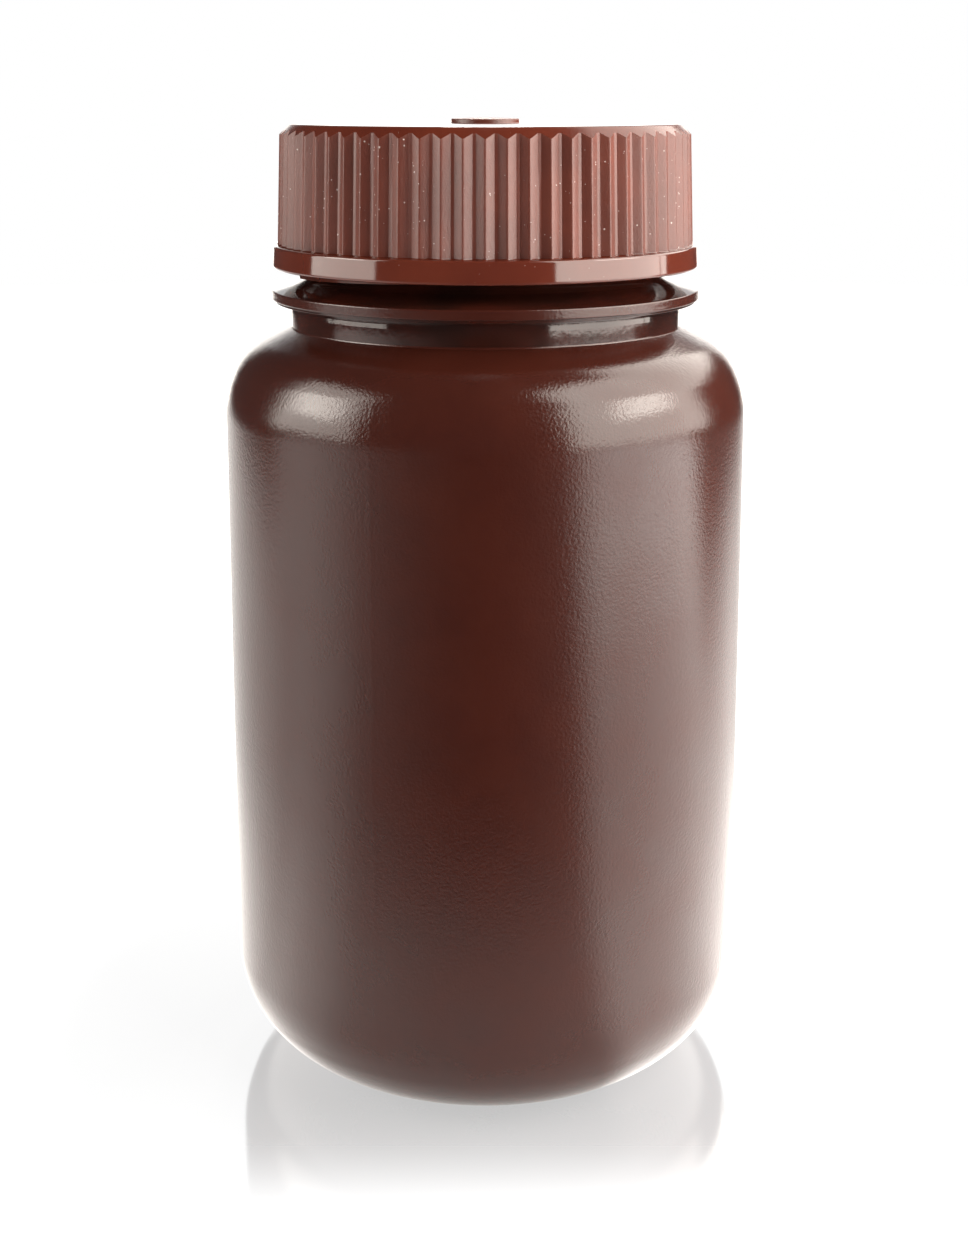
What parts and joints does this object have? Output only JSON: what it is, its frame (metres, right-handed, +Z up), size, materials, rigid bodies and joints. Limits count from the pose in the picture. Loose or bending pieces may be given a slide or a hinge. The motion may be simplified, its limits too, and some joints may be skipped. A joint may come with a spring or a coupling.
{
  "type": "wide-mouth laboratory bottle with screw cap",
  "caption": "Round wide-mouth bottle of brown plastic with rounded shoulder and base, a collar below the mouth, and a ribbed screw cap over a sealing disc.",
  "frame": {"origin": "middle of the bottle's base, on the plane that it stands on", "axes": "+Z up along the bottle's axis, from the base to the cap; +X and +Y are level"},
  "size_m": [0.052, 0.052, 0.0956],
  "materials": {
    "brown_hdpe": "semi-matt, fine grain",
    "brown_pp": "satin ribs, glossy foot band",
    "white_pe_foam": "soft closed-cell foam"
  },
  "bodies": {
    "bottle": {"bottle": "brown_hdpe"},
    "liner": {"sealing_liner": "white_pe_foam"},
    "cap": {"screw_cap": "brown_pp"}
  },
  "joints": [
    {"name": "cap_rise", "type": "slide", "parent": "bottle", "child": "liner", "axis": [0, 0, 1], "range_m": [0, 0.01482]},
    {"name": "cap_turn", "type": "hinge", "parent": "liner", "child": "cap", "pos_m": [0, 0, 0.0934], "axis": [0, 0, 1], "range_deg": [0, 1260]}
  ],
  "couplings": [
    {"joint": "cap_turn", "follows": "cap_rise", "rad_per_m": 1484.2}
  ]
}
